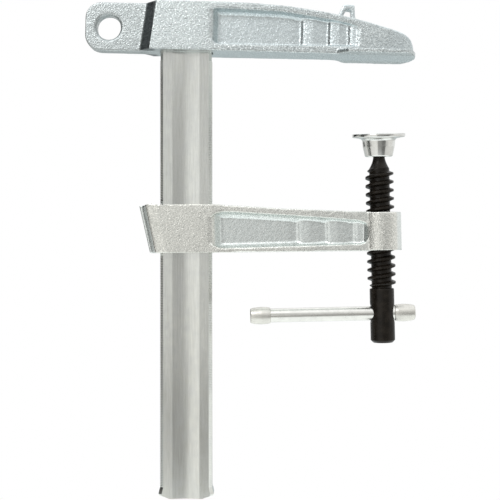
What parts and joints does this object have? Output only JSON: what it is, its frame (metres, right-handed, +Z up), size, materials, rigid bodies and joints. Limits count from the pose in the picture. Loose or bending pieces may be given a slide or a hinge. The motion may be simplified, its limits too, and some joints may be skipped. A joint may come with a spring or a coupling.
{
  "type": "sliding arm screw clamp",
  "caption": "Sliding-arm screw clamp with a fixed jaw and cable lug on a flat rail, tommy-bar spindle and swivelling pad.",
  "frame": {"origin": "centre of the fixed jaw's clamping face, above the spindle", "axes": "+Z up the rail towards the fixed jaw, +X from the rail to the nose of the jaw, +Y across the thickness"},
  "size_m": [0.1964, 0.033, 0.2946],
  "materials": {
    "cast_jaw": "zinc-plated rough casting",
    "cast_arm": "zinc-plated rough casting",
    "rail_steel": "zinc-plated rolled steel",
    "black_steel": "oiled black oxide",
    "bright_zinc": "bright zinc plate"
  },
  "bodies": {
    "frame": {"fixed_jaw": "cast_jaw", "rail": "rail_steel"},
    "arm": {"sliding_arm": "cast_arm"},
    "feed": {"retaining_ring": "bright_zinc"},
    "screw": {"spindle": "black_steel"},
    "pad": {"pressure_pad": "bright_zinc"},
    "bar": {"tommy_bar": "bright_zinc", "bar_knob_left": "bright_zinc", "bar_knob_right": "bright_zinc"}
  },
  "joints": [
    {"name": "arm_slide", "type": "slide", "parent": "frame", "child": "arm", "axis": [0, 0, 1], "range_m": [-0.138, 0.0195]},
    {"name": "screw_feed", "type": "slide", "parent": "arm", "child": "feed", "axis": [-0.0218, 0, 0.9998], "range_m": [-0.0302, 0.0214]},
    {"name": "screw_turn", "type": "hinge", "parent": "feed", "child": "screw", "pos_m": [0.00332, 0, -0.15226], "axis": [-0.0218, 0, 0.9998], "range_deg": [-2160, 1530]},
    {"name": "pad_tilt", "type": "hinge", "parent": "feed", "child": "pad", "pos_m": [0.00113, 0, -0.05199], "axis": [0.9998, 0, 0.0218], "range_deg": [-12, 0]},
    {"name": "bar_slide", "type": "slide", "parent": "screw", "child": "bar", "axis": [0.9998, 0, 0.0218], "range_m": [0, 0.0592]}
  ],
  "couplings": [
    {"joint": "screw_feed", "follows": "screw_turn", "m_per_rad": 0.00079577}
  ]
}
